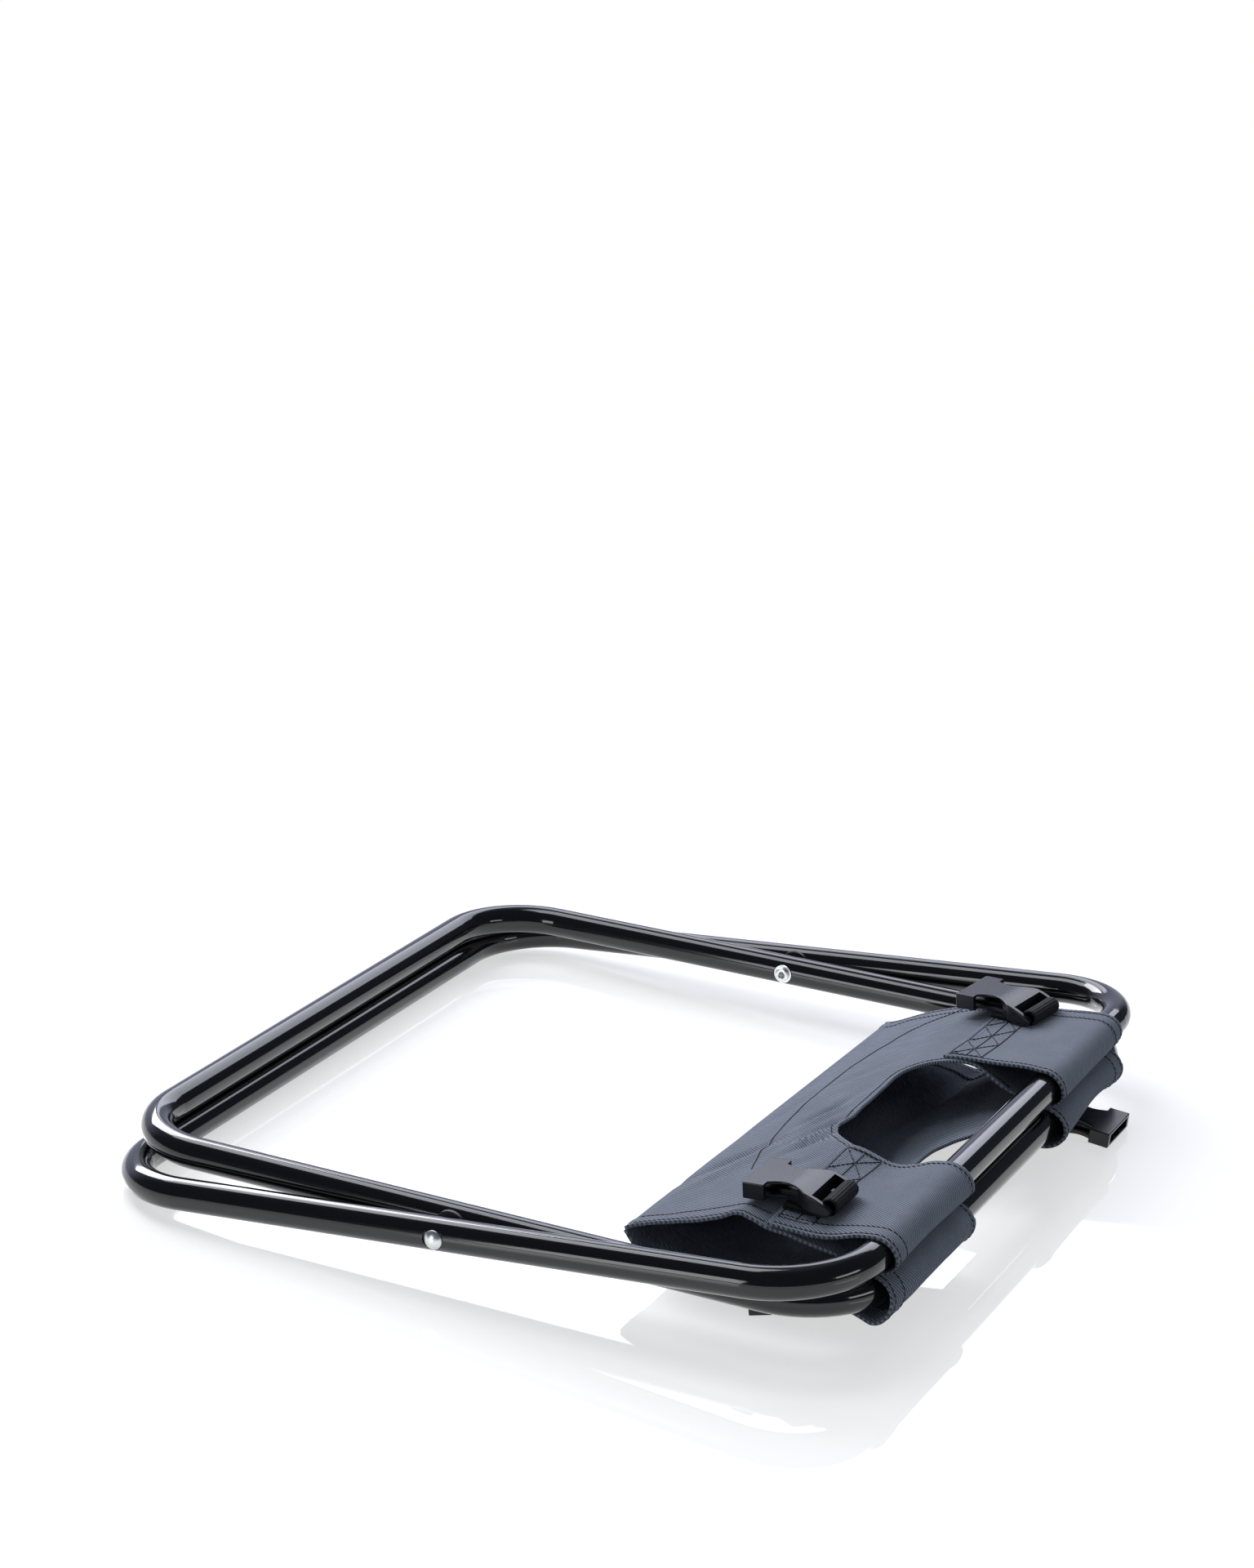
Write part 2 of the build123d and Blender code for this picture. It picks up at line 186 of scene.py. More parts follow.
def addWorld(values):
    world = bpy.data.worlds.new("studio")
    world.use_nodes = True
    tree = world.node_tree
    tree.nodes.clear()
    white = put(tree, "Background", {"Color": (1, 1, 1, 1), "Strength": 1.0})
    fill = put(tree, "Background", {"Color": values["fillColor"], "Strength": values["fill"]})
    direction = put(tree, "SeparateXYZ", {0: put(tree, "TexCoord").outputs["Generated"]})
    low = spread(tree, direction.outputs["Z"], 1.0, values["overWall"], *values["wallTop"])
    left = spread(tree, direction.outputs["X"], 1.0, 0.0, *values["wallSide"])
    back = spread(tree, direction.outputs["Y"], 0.0, 1.0, *values["wallFront"])
    wall = mathNode(tree, "MULTIPLY", mathNode(tree, "MULTIPLY", low, left), back)
    room = colourBetween(tree, wall, values["darkRoom"], values["whiteWall"])
    surround = put(tree, "Background", {"Color": room})
    path = put(tree, "LightPath").outputs
    mirrored = {"Fac": path["Is Glossy Ray"], 1: fill.outputs[0], 2: surround.outputs[0]}
    glossy = put(tree, "MixShader", mirrored)
    direct = {"Fac": path["Is Camera Ray"], 1: glossy.outputs[0], 2: white.outputs[0]}
    shown = put(tree, "MixShader", direct)
    put(tree, "OutputWorld", {"Surface": shown.outputs[0]})
    bpy.context.scene.world = world


addWorld(worldValues)
bpy.context.scene.view_settings.view_transform = "Standard"

floorValues = {
    "size": 12.0,
    "gloss": 0.02,
    "color": (0.62, 0.63, 0.64, 1),
    "lift": 0.60,            # glow that only the camera and mirrors see
    "fade": (0.55, 1.1),     # it turns plain white between these distances
}


def addFloor(values):
    mesh = bmesh.new()
    bmesh.ops.create_grid(mesh, x_segments=1, y_segments=1, size=values["size"] / 2)
    floor = bpy.data.objects.new("floor", bpy.data.meshes.new("floor"))
    mesh.to_mesh(floor.data)
    mesh.free()
    bpy.context.collection.objects.link(floor)
    material, tree, surface = newMaterial("glossyWhiteAcrylic")
    feed(tree, surface, {"Base Color": values["color"], "Roughness": values["gloss"]})
    path = put(tree, "LightPath").outputs
    seen = mathNode(tree, "MAXIMUM", path["Is Camera Ray"], path["Is Glossy Ray"])
    glow = mathNode(tree, "MULTIPLY", seen, values["lift"])
    feed(tree, surface, {"Emission Color": (1, 1, 1, 1), "Emission Strength": glow})
    reach = put(tree, "VectorMath", {0: objectPlace(tree)}, operation="LENGTH").outputs["Value"]
    away = mathNode(tree, "MULTIPLY", seen, spread(tree, reach, 0.0, 1.0, *values["fade"]))
    white = put(tree, "Emission", {"Color": (1, 1, 1, 1), "Strength": 1.0})
    both = put(tree, "MixShader", {"Fac": away, 1: surface.outputs[0], 2: white.outputs[0]})
    feed(tree, tree.nodes["Material Output"], {"Surface": both.outputs[0]})
    floor.data.materials.append(material)


addFloor(floorValues)
print("studio set")


# Finishes of the hard parts. A mottle is its scale and detail, a bump its strength and depth.

paintValues = {
    "color": (0.0055, 0.0058, 0.0068),
    "worn": (0.014, 0.015, 0.018),
    "gloss": (0.07, 0.13),
    "clouds": (14.0, 4.0),
    "peel": (380.0, 2.0),
    "peelBump": (0.025, 0.0003),
    "dust": (2600.0, 1.0),
    "specks": (0.70, 0.80),
    "speckGloss": 0.2,
    "coat": (0.35, 0.05),
}


def makePaint(values):
    material, tree, surface = newMaterial("blackGlossPaint")
    place = objectPlace(tree)
    clouds = mottle(tree, place, *values["clouds"])
    peel = mottle(tree, place, *values["peel"])
    dust = mottle(tree, place, *values["dust"])
    specks = spread(tree, dust, 0.0, 1.0, *values["specks"])
    dulled = mathNode(tree, "MULTIPLY", specks, values["speckGloss"])
    feed(tree, surface, {
        "Base Color": colourBetween(tree, specks, values["color"], values["worn"]),
        "Roughness": mathNode(tree, "ADD", spread(tree, clouds, *values["gloss"]), dulled),
        "Coat Weight": values["coat"][0],
        "Coat Roughness": values["coat"][1],
        "Normal": bumped(tree, peel, *values["peelBump"]),
    })
    return material


# The first colour and gloss are those of the noise's dark end.
zincValues = {
    "color": (0.76, 0.79, 0.79),
    "pale": (0.94, 0.96, 0.96),
    "gloss": (0.40, 0.24),
    "metallic": 1.0,
    "clouds": (160.0, 5.0),
    "grain": (1500.0, 2.0),
    "grainBump": (0.12, 0.0002),
}
plasticValues = {
    "spacerNylon": {
        "color": (0.010, 0.010, 0.011), "pale": (0.018, 0.018, 0.020), "gloss": (0.30, 0.42),
        "clouds": (60.0, 4.0), "grain": (2400.0, 2.0), "grainBump": (0.10, 0.0002),
    },
    "buckleAcetal": {
        "color": (0.010, 0.011, 0.014), "pale": (0.017, 0.018, 0.024), "gloss": (0.20, 0.28),
        "clouds": (60.0, 4.0), "grain": (2400.0, 2.0), "grainBump": (0.03, 0.0002),
    },
}


def makeGrained(name, values):
    material, tree, surface = newMaterial(name)
    place = objectPlace(tree)
    clouds = mottle(tree, place, *values["clouds"])
    grain = mottle(tree, place, *values["grain"])
    feed(tree, surface, {
        "Base Color": colourBetween(tree, clouds, values["color"], values["pale"]),
        "Metallic": values.get("metallic", 0.0),
        "Roughness": spread(tree, clouds, *values["gloss"]),
        "Normal": bumped(tree, grain, *values["grainBump"]),
    })
    return material


blackPaint = makePaint(paintValues)
zincPlate = makeGrained("zincPlate", zincValues)
spacerNylon = makeGrained("spacerNylon", plasticValues["spacerNylon"])
buckleAcetal = makeGrained("buckleAcetal", plasticValues["buckleAcetal"])

finishes = {
    "tube": blackPaint,
    "rivet": zincPlate,
    "washer": zincPlate,
    "spacer": spacerNylon,
    "buckle": buckleAcetal,
}
for nodeName, node in nodes.items():
    for part, finish in finishes.items():
        if part in nodeName:
            node.data.materials.clear()
            node.data.materials.append(finish)
print("hard parts finished")


# cloth, webbing and thread: patterns in metres on the flat cloth, carried by the UV map

clothValues = {
    "ribPitch": 0.00162,
    "ribTurn": math.radians(33),
    "yarnPitch": 0.00052,
    "ribShare": 0.88,
    "yarnShare": 0.12,
    # colour in the furrows between ribs and yarns, darker than the raised yarn: painted shade
    "shadedFurrow": (0.054, 0.070, 0.096),
    "raised": (0.305, 0.342, 0.430),
    "wander": (900.0, 2.0),
    "wanderBy": 0.0004,
    "clouds": (38.0, 6.0),
    "cloudRoughness": 0.65,
    "cloudTone": (-0.20, 0.20),
    "gloss": (0.72, 0.88),
    "bump": (0.9, 0.00035),
}


def stripes(tree, place, turn, pitch):
    turned = put(tree, "Mapping", {"Vector": place, "Rotation": (0, 0, turn)}).outputs["Vector"]
    along = put(tree, "SeparateXYZ", {0: turned}).outputs["X"]
    phase = mathNode(tree, "MULTIPLY", along, 2 * math.pi / pitch)
    return spread(tree, mathNode(tree, "SINE", phase), 0.0, 1.0, -1.0, 1.0)


def makeTwill(values):
    material, tree, surface = newMaterial("slateTwill")
    place = put(tree, "UVMap", uv_map="flat").outputs["UV"]
    wander = mathNode(tree, "MULTIPLY", mottle(tree, place, *values["wander"]), values["wanderBy"])
    aside = put(tree, "CombineXYZ", {0: wander}).outputs[0]
    shifted = put(tree, "VectorMath", {0: place, 1: aside}, operation="ADD").outputs["Vector"]
    ribs = stripes(tree, shifted, values["ribTurn"], values["ribPitch"])
    yarns = stripes(tree, shifted, 0.0, values["yarnPitch"])
    ribPart = mathNode(tree, "MULTIPLY", ribs, values["ribShare"])
    yarnPart = mathNode(tree, "MULTIPLY", yarns, values["yarnShare"])
    weave = mathNode(tree, "ADD", ribPart, yarnPart)
    clouds = mottle(tree, place, *values["clouds"], Roughness=values["cloudRoughness"])
    tone = mathNode(tree, "ADD", weave, spread(tree, clouds, *values["cloudTone"]))
    # the base colour is darker in the weave's furrows, which is painted shade, with a random cloudy tone on
    # top
    feed(tree, surface, {
        "Base Color": colourBetween(tree, tone, values["shadedFurrow"], values["raised"]),
        "Roughness": spread(tree, clouds, *values["gloss"]),
        "Specular IOR Level": 0.25,
        "Sheen Weight": 0.22,
        "Sheen Roughness": 0.45,
        "Sheen Tint": (0.85, 0.90, 1.0, 1),
        "Normal": bumped(tree, weave, *values["bump"]),
    })
    return material


webbingWeave = {
    "ribPitch": 0.0016,
    "columnPitch": 0.0030,
    "threadTurn": math.radians(30),
    "threadShare": 0.25,
    "ribDepth": 0.35,        # of the raised height, in the furrows
    "columnDepth": 0.55,
    # colour in the furrows between ribs and columns, darker than the raised yarn: painted shade
    "shadedFurrow": (0.0012, 0.0013, 0.0016),
    "raised": (0.020, 0.021, 0.024),
    "bump": (1.0, 0.0007),
}


def makeWebbing(values):
    material, tree, surface = newMaterial("blackWebbing")
    place = put(tree, "UVMap", uv_map="flat").outputs["UV"]
    ribs = stripes(tree, place, math.pi / 2, values["ribPitch"])
    columns = stripes(tree, place, 0.0, values["columnPitch"] / 2)
    threads = stripes(tree, place, values["threadTurn"], values["ribPitch"] / 3)
    raisedRibs = spread(tree, ribs, values["ribDepth"], 1.0)
    raisedColumns = spread(tree, columns, values["columnDepth"], 1.0)
    weave = mathNode(tree, "MULTIPLY", raisedRibs, raisedColumns)
    fine = mathNode(tree, "ADD", weave, mathNode(tree, "MULTIPLY", threads, values["threadShare"]))
    # the base colour is darker in the webbing's furrows: painted shade
    feed(tree, surface, {
        "Base Color": colourBetween(tree, fine, values["shadedFurrow"], values["raised"]),
        "Roughness": 0.60,
        "Specular IOR Level": 0.25,
        "Sheen Weight": 0.04,
        "Sheen Roughness": 0.4,
        "Normal": bumped(tree, fine, *values["bump"]),
    })
    return material


threadValues = {
    "dark": (0.003, 0.004, 0.008),
    "light": (0.011, 0.014, 0.022),
    "twist": (4200.0, 1.0),
    "bump": (0.4, 0.0001),
}


def makeThread(values):
    material, tree, surface = newMaterial("navyThread")
    twist = mottle(tree, objectPlace(tree), *values["twist"])
    feed(tree, surface, {
        "Base Color": colourBetween(tree, twist, values["dark"], values["light"]),
        "Roughness": 0.55,
        "Normal": bumped(tree, twist, *values["bump"]),
    })
    return material


slateTwill = makeTwill(clothValues)
blackWebbing = makeWebbing(webbingWeave)
navyThread = makeThread(threadValues)


# curves and fades that the soft pieces share

# a smooth curve through unevenly spaced places, after Catmull and Rom
def smoothRow(places, heights, at):
    last = len(places) - 1
    at = min(max(at, places[0]), places[last])
    i = next(k for k in range(last) if at <= places[k + 1])
    span = places[i + 1] - places[i]

    def slope(k):
        before, after = max(k - 1, 0), min(k + 1, last)
        return (heights[after] - heights[before]) / (places[after] - places[before])

    t = (at - places[i]) / span
    rise = heights[i + 1] - heights[i]
    left, right = slope(i) * span - rise, rise - slope(i + 1) * span
    return heights[i] + rise * t + t * (1 - t) * (left * (1 - t) + right * t)


def smoothPath(points, pieces=6):
    places = list(range(len(points)))
    count = (len(points) - 1) * pieces
    columns = list(zip(*points))
    return [tuple(smoothRow(places, column, k / pieces) for column in columns) for k in range(count + 1)]


def hump(distance, width):
    return math.exp(-((distance / width) ** 2))


def ease(value, low, high):
    t = min(max((value - low) / (high - low), 0.0), 1.0)
    return t * t * (3 - 2 * t)


# The seat is sewn from one length of cloth, folded at the crease. Each half is laid out flat
# (across, along), in millimetres, from the free edge of its flap round the rail and back to the
# crease, and then given its height off the rail's axis at a row of places.

seatValues = {
    "edges": (-193.0, 179.0),
    "grip": (-82.0, 68.0),
    "gripReach": {"upper": 80.5, "lower": 47.0},
    "gripRound": 38.0,
    "flap": 62.5,
    "turn": 36.0,         # of cloth round the rail
    "back": 152.0,        # from the rail to the crease
    "cloth": 0.8,
    "flapPlaces": (0, 10, 22.5, 34, 42.5, 52.5, 62.5),
    "backPlaces": (0, 5, 12, 22, 34, 42.5, 52.5, 62.5, 70, 79, 91, 106, 125, 140, 147),
}

# For each place across: the flap's heights outwards from the rail, then how far the loop stands
# out and the height of its middle, and then the heights of the layer back to the crease.
upperShape = {
    -193.0: ((10.3, 9.5, 6.6, 5.4, 5.6, 6.6, 8.4), (13.3, -1.8),
             (-10.3, -9.3, -7.1, -3.4, -0.4, 2.0, 5.0, 7.0, 10.4, 13.1, 8.0, 4.0, 0.5, -2.9, -5.9)),
    -172.0: ((10.3, 10.0, 8.6, 7.4, 7.7, 8.8, 10.2), (12.6, -1.0),
             (-10.3, -9.3, -7.0, -2.8, 1.6, 5.0, 7.9, 9.3, 11.0, 12.6, 9.2, 5.0, -0.3, -3.6, -5.4)),
    -137.0: ((10.3, 10.1, 9.2, 8.2, 8.2, 9.3, 10.9), (12.2, -0.6),
             (-10.3, -9.2, -6.9, -2.6, 2.4, 6.3, 8.4, 10.0, 11.2, 11.4, 9.4, 5.6, 0.2, -3.8, -5.9)),
    -82.0: ((10.5, 9.4, 5.6, 4.6, 6.8, 10.6, 12.4), (13.4, -2.4),
            (-10.3, -9.4, -7.0, -2.8, 1.8, 5.0, 9.4, 11.5, 11.6, 11.0, 8.9, 5.4, 0.4, -4.2, -6.8)),
    -7.0: ((10.4, 10.2, 9.6, 9.3, 9.4, 10.4, 11.4), (12.6, -1.0),
           (-10.3, -9.2, -6.9, -3.6, 0.3, 3.0, 6.0, 8.6, 9.4, 9.3, 7.6, 4.2, -0.8, -6.0, -8.9)),
    68.0: ((11.8, 13.2, 13.5, 13.3, 13.2, 13.4, 13.3), (13.0, -1.4),
           (-10.3, -9.2, -6.8, -2.6, 5.0, 10.6, 12.2, 12.4, 12.2, 11.4, 8.8, 4.6, -1.6, -7.8, -11.0)),
    110.0: ((10.6, 11.0, 10.8, 10.4, 10.3, 10.5, 10.7), (12.2, -0.8),
            (-10.3, -9.3, -7.0, -2.6, 3.4, 7.4, 9.2, 9.8, 9.9, 9.4, 7.0, 3.0, -2.8, -8.6, -12.0)),
    160.0: ((10.4, 10.5, 10.3, 10.2, 10.2, 10.3, 10.4), (11.8, -0.4),
            (-10.3, -9.2, -6.9, -2.8, 3.0, 7.2, 9.2, 9.5, 9.4, 8.6, 6.0, 2.0, -3.8, -9.6, -13.0)),
    179.0: ((10.4, 10.6, 10.3, 10.1, 10.0, 10.0, 10.1), (11.4, 0.6),
            (-10.3, -9.2, -6.9, -3.0, 2.0, 5.6, 8.2, 9.2, 8.8, 7.8, 5.2, 1.4, -4.4, -10.2, -13.4)),
}
lowerShape = {
    -193.0: ((15.8, 13.4, 11.6, 10.6, 10.4, 10.4, 10.5), (12.2, 1.6),
             (-10.3, -10.1, -8.4, -4.8, -0.6, 2.8, 6.6, 9.4, 11.6, 13.4, 14.4, 14.0, 11.2, 7.4, 0.8)),
    -172.0: ((15.0, 13.0, 11.2, 10.4, 10.3, 10.3, 10.3), (13.6, 1.6),
             (-10.3, -9.4, -7.2, -3.8, 0.2, 3.0, 6.4, 9.4, 11.6, 13.4, 14.2, 13.4, 10.6, 7.2, 2.2)),
    -137.0: ((14.4, 12.6, 10.9, 10.3, 10.3, 10.3, 10.3), (13.9, 1.4),
             (-10.3, -9.2, -6.9, -3.6, 0.3, 3.0, 6.2, 9.4, 11.6, 13.2, 13.8, 12.6, 9.6, 6.4, 2.6)),
    -82.0: ((14.0, 12.4, 10.8, 10.3, 10.3, 10.4, 10.5), (14.6, 1.2),
            (-10.3, -9.3, -7.0, -3.6, 0.3, 3.1, 6.4, 9.4, 11.4, 12.8, 13.2, 12.0, 9.0, 6.0, 2.6)),
    -7.0: ((14.0, 12.4, 10.8, 10.3, 10.3, 10.3, 10.3), (13.8, 1.4),
           (-10.3, -9.2, -6.9, -3.6, 0.2, 2.8, 6.0, 9.0, 12.0, 14.6, 15.6, 14.2, 10.6, 7.0, 3.4)),
    68.0: ((14.2, 12.6, 10.9, 10.3, 10.3, 10.4, 10.5), (15.2, 2.4),
           (-10.3, -9.3, -7.0, -3.6, 0.3, 3.0, 6.2, 9.4, 10.8, 12.2, 13.2, 12.8, 10.2, 7.4, 4.2)),
    106.0: ((12.6, 11.6, 10.8, 10.3, 10.3, 10.3, 10.3), (13.2, 1.4),
            (-10.3, -9.2, -6.9, -3.6, 0.2, 2.8, 6.0, 9.4, 11.0, 12.4, 13.6, 13.4, 10.8, 8.0, 5.0)),
    140.0: ((10.6, 10.5, 10.4, 10.3, 10.3, 10.3, 10.3), (11.6, 0.2),
            (-10.3, -9.2, -6.9, -3.6, 0.2, 2.8, 6.0, 9.4, 11.1, 12.5, 13.6, 13.4, 11.0, 8.4, 5.6)),
    179.0: ((13.4, 12.0, 10.8, 10.3, 10.3, 10.3, 10.3), (12.8, 1.6),
            (-10.3, -9.2, -6.9, -3.6, 0.2, 2.8, 6.0, 9.4, 11.2, 12.6, 13.6, 13.4, 11.2, 8.8, 6.2)),
}

railPitch, pivotToRail = 0.0216, 0.234     # metres, between the folded rails and from the pivot
upperTilt = math.asin(railPitch / pivotToRail)
headRails = {half: Vector(joints[half + "_seat_turn"]["pos_m"]) for half in ("upper", "lower")}

# A crease is its reach and height at the near and the far edge. A fold is its two ends, (across,
# reach), its width and its height. The drift slides the layer back to the crease sideways.
halves = {
    "upper": {
        "shape": upperShape,
        "origin": headRails["upper"],
        "toPivot": Vector((-math.cos(upperTilt), 0, -math.sin(upperTilt))),
        "outwards": Vector((-math.sin(upperTilt), 0, math.cos(upperTilt))),
        "crease": ((148.9, -5.9), (145.4, -11.8)),
        "wrinkle": 0.7,
        "flare": (-1.6, 1.0),
        "drift": 0.0,
        "folds": (
            ((4.0, 96.0), (-38.0, 110.0), 3.2, -3.0),
            ((-14.0, 92.0), (-52.0, 105.0), 3.0, 2.2),
            ((-32.0, 84.0), (-72.0, 99.0), 3.2, -3.2),
            ((-50.0, 80.0), (-82.0, 94.0), 2.8, 2.0),
            ((-62.0, 77.0), (-96.0, 94.0), 3.2, -2.6),
            ((-70.0, 112.0), (-114.0, 140.0), 3.4, -3.0),
            ((-84.0, 108.0), (-136.0, 134.0), 4.5, 2.2),
            ((-100.0, 72.0), (-140.0, 92.0), 4.0, -1.4),
            ((24.0, 128.0), (-40.0, 142.0), 5.0, -1.4),
            ((60.0, 96.0), (36.0, 118.0), 5.0, -1.0),
            ((110.0, 84.0), (104.0, 112.0), 6.0, 0.8),
        ),
    },
    "lower": {
        "shape": lowerShape,
        "origin": headRails["lower"],
        "toPivot": Vector((-1, 0, 0)),
        "outwards": Vector((0, 0, -1)),
        "crease": ((148.6, -0.8), (144.8, 4.7)),
        "wrinkle": 1.6,
        "flare": (-6.0, 1.5),
        "drift": -38.0,
        "folds": (
            ((85.0, 88.0), (175.0, 74.0), 7.0, 6.0),
            ((60.0, 108.0), (160.0, 96.0), 8.0, -3.0),
            ((70.0, 66.0), (150.0, 54.0), 8.0, -3.0),
            ((-30.0, 80.0), (60.0, 72.0), 8.0, 3.5),
            ((-150.0, 60.0), (-90.0, 96.0), 8.0, 2.5),
        ),
    },
}


sections = {}


def sectionAt(half, across):
    key = (half, round(across, 2))
    if key not in sections:
        shape = halves[half]["shape"]
        places = sorted(shape)
        sections[key] = [
            [smoothRow(places, column, across) for column in zip(*(shape[place][part] for place in places))]
            for part in range(3)
        ]
    return sections[key]


flapLength = seatValues["flap"]
footAlong = flapLength + seatValues["turn"]
clothLength = footAlong + seatValues["back"]
reachEnd = seatValues["backPlaces"][-1]
backScale = reachEnd / seatValues["back"]


def alongBack(reach):
    return footAlong + reach / backScale


def reachAt(along):
    return (along - footAlong) * backScale


# Loops that flare sideways at the seat's edges, and the back layer that has slid sideways: where
# each fades, across the cloth and along its reach.
flareFades = {
    "middle": 0.35,       # of the turn round the rail
    "width": 30.0,
    "near": (-193.0, -160.0),
    "far": (150.0, 179.0),
}
driftFades = {
    "near": (-165.0, 10.0),
    "far": (70.0, 165.0),
    "farShare": 0.5,
    "start": (3.0, 30.0),
    "end": (88.0, 140.0),
}


def flareAt(half, across, along):
    near, far = halves[half]["flare"]
    atLoop = hump(along - flapLength - flareFades["middle"] * seatValues["turn"], flareFades["width"])
    nearPart = near * (1 - ease(across, *flareFades["near"]))
    return atLoop * (nearPart + far * ease(across, *flareFades["far"]))


def driftAt(half, across, along, reach):
    if along <= footAlong:
        return 0.0
    fades = driftFades
    sideways = ease(across, *fades["near"]) * (1 - fades["farShare"] * ease(across, *fades["far"]))
    slid = halves[half]["drift"] * sideways * ease(reach, *fades["start"])
    return slid * (1 - ease(reach, *fades["end"]))


def restPoint(half, across, along):
    values = halves[half]
    flap, loop, back = sectionAt(half, across)
    (nearReach, nearHeight), (farReach, farHeight) = values["crease"]
    nearEdge, farEdge = seatValues["edges"]
    share = (across - nearEdge) / (farEdge - nearEdge)
    if along <= flapLength:
        reach = flapLength - along
        height = smoothRow(seatValues["flapPlaces"], flap, reach)
    elif along < footAlong:
        angle = math.pi * (along - flapLength) / seatValues["turn"]
        reach = -loop[0] * math.sin(angle)
        ends = flap[0] if angle < math.pi / 2 else 2 * loop[1] - back[0]
        height = loop[1] + (ends - loop[1]) * math.cos(angle)
    else:
        reach = reachAt(along)
        heights = back[:-1] + [nearHeight + (farHeight - nearHeight) * share]
        height = smoothRow(seatValues["backPlaces"], heights, reach)
        reach *= (nearReach + (farReach - nearReach) * share) / reachEnd
    sideways = across + flareAt(half, across, along) + driftAt(half, across, along, reach)
    place = values["origin"] + (values["toPivot"] * reach + values["outwards"] * height) / 1000
    place.y = sideways / 1000
    return place


def edgeDistances(half, across, along):
    nearEdge, farEdge = seatValues["edges"]
    nearGrip, farGrip = seatValues["grip"]
    outer = min(across - nearEdge, farEdge - across)
    halfGrip = (farGrip - nearGrip) / 2
    sideways = abs(across - (nearGrip + farGrip) / 2)
    corner = seatValues["gripRound"]
    cornerReach = seatValues["gripReach"][half] - corner
    if reachAt(along) < cornerReach:
        return outer, sideways - halfGrip
    x = sideways - (halfGrip - corner)
    z = reachAt(along) - cornerReach
    return outer, math.hypot(max(x, 0), max(z, 0)) - corner + min(max(x, z), 0)


# The relief of the cloth off its plain form: rows pulled in by stitches, folds and wrinkles.
# Rows are distances from the seat's edges, the hand grip and the flap's free edge.
sewnRows = {"outer": (3.0, 12.6), "grip": (3.6,), "flap": (2.4,)}
reliefValues = {
    "rowDepth": 0.42,
    "rowWidth": 1.1,
    "softSize": (52, 34),
    "softSeed": {"upper": 3.1, "lower": 8.7},
    "fineSize": (9, 7),
    "fineSeed": 5.5,
    "fineHeight": 0.07,
    "puckerSize": 3.2,
    "puckerSeed": 9.0,
    "puckerHeight": 0.10,
    "outerPuckers": ((3, 3), (13, 2)),     # a distance from the edge and a width
    "gripPuckers": ((3, 2),),
    "onFlap": 0.5,
    "foldEnds": 0.55,
    "flatFoot": 26.0,            # none of it where the cloth leaves the rail
    "nearCrease": (2.0, 16.0),
    "lift": 0.9,                 # of the flap's free edge, away from the buckles
    "liftFade": (16.0, 34.0),
    "buckles": ((-161, 24), (158, 24)),
}


def rowDip(distance, rows):
    return -reliefValues["rowDepth"] * sum(hump(distance - row, reliefValues["rowWidth"]) for row in rows)


def foldHeight(half, across, reach):
    total = 0.0
    for (startAcross, startReach), (endAcross, endReach), width, height in halves[half]["folds"]:
        dy, du = endAcross - startAcross, endReach - startReach
        length2 = dy * dy + du * du
        fromStart, out = across - startAcross, reach - startReach
        t = (fromStart * dy + out * du) / length2
        off = (fromStart * du - out * dy) / math.sqrt(length2)
        total += height * hump(off, width) * hump(t - 0.5, reliefValues["foldEnds"])
    return total


def waves(kind, half, across, along, octaves):
    sizeAcross, sizeAlong = reliefValues[kind + "Size"]
    seed = reliefValues[kind + "Seed"]
    third = seed[half] if isinstance(seed, dict) else seed
    return noise.fractal(Vector((across / sizeAcross, along / sizeAlong, third)), 1.0, 2.0, octaves)


def puckersAt(across, along, outer, grip):
    size = reliefValues["puckerSize"]
    rows = [hump(outer - at, width) for at, width in reliefValues["outerPuckers"]]
    rows += [hump(grip - at, width) for at, width in reliefValues["gripPuckers"]]
    return noise.noise(Vector((across / size, along / size, reliefValues["puckerSeed"]))) * sum(rows)


def flapLift(across, along):
    free = 1 - ease(along, *reliefValues["liftFade"])
    for at, width in reliefValues["buckles"]:
        free *= 1 - hump(across - at, width)
    return reliefValues["lift"] * free


def loft(half, across, along):
    outer, grip = edgeDistances(half, across, along)
    back = along > footAlong
    dips = rowDip(outer, sewnRows["outer"]) + rowDip(grip, sewnRows["grip"])
    soft = waves("soft", half, across, along, 3)
    fine = waves("fine", half, across, along, 2)
    atCrease = ease(clothLength - along, *reliefValues["nearCrease"])
    rolled = (halves[half]["wrinkle"] * soft + reliefValues["fineHeight"] * fine) * atCrease
    lift = 0.0
    if back:
        rolled += foldHeight(half, across, reachAt(along))
    else:
        dips += rowDip(along, sewnRows["flap"])
        rolled = abs(rolled) * reliefValues["onFlap"]
        lift = flapLift(across, along)
    puckers = reliefValues["puckerHeight"] * puckersAt(across, along, outer, grip)
    atFoot = 1 - hump(along - footAlong, reliefValues["flatFoot"])
    return (dips + rolled + puckers) * atFoot + lift


def clothPoint(half, across, along, over=0.0):
    step = 0.4
    low, high = max(along - step, 0.0), min(along + step, clothLength)
    acrossEdge = restPoint(half, across + step, along) - restPoint(half, across - step, along)
    alongEdge = restPoint(half, across, high) - restPoint(half, across, low)
    normal = acrossEdge.cross(alongEdge).normalized()
    facing = -1.0 if along > footAlong else 1.0
    if half == "upper":
        normal = -normal
    return restPoint(half, across, along) + normal * facing * (loft(half, across, along) + over) / 1000


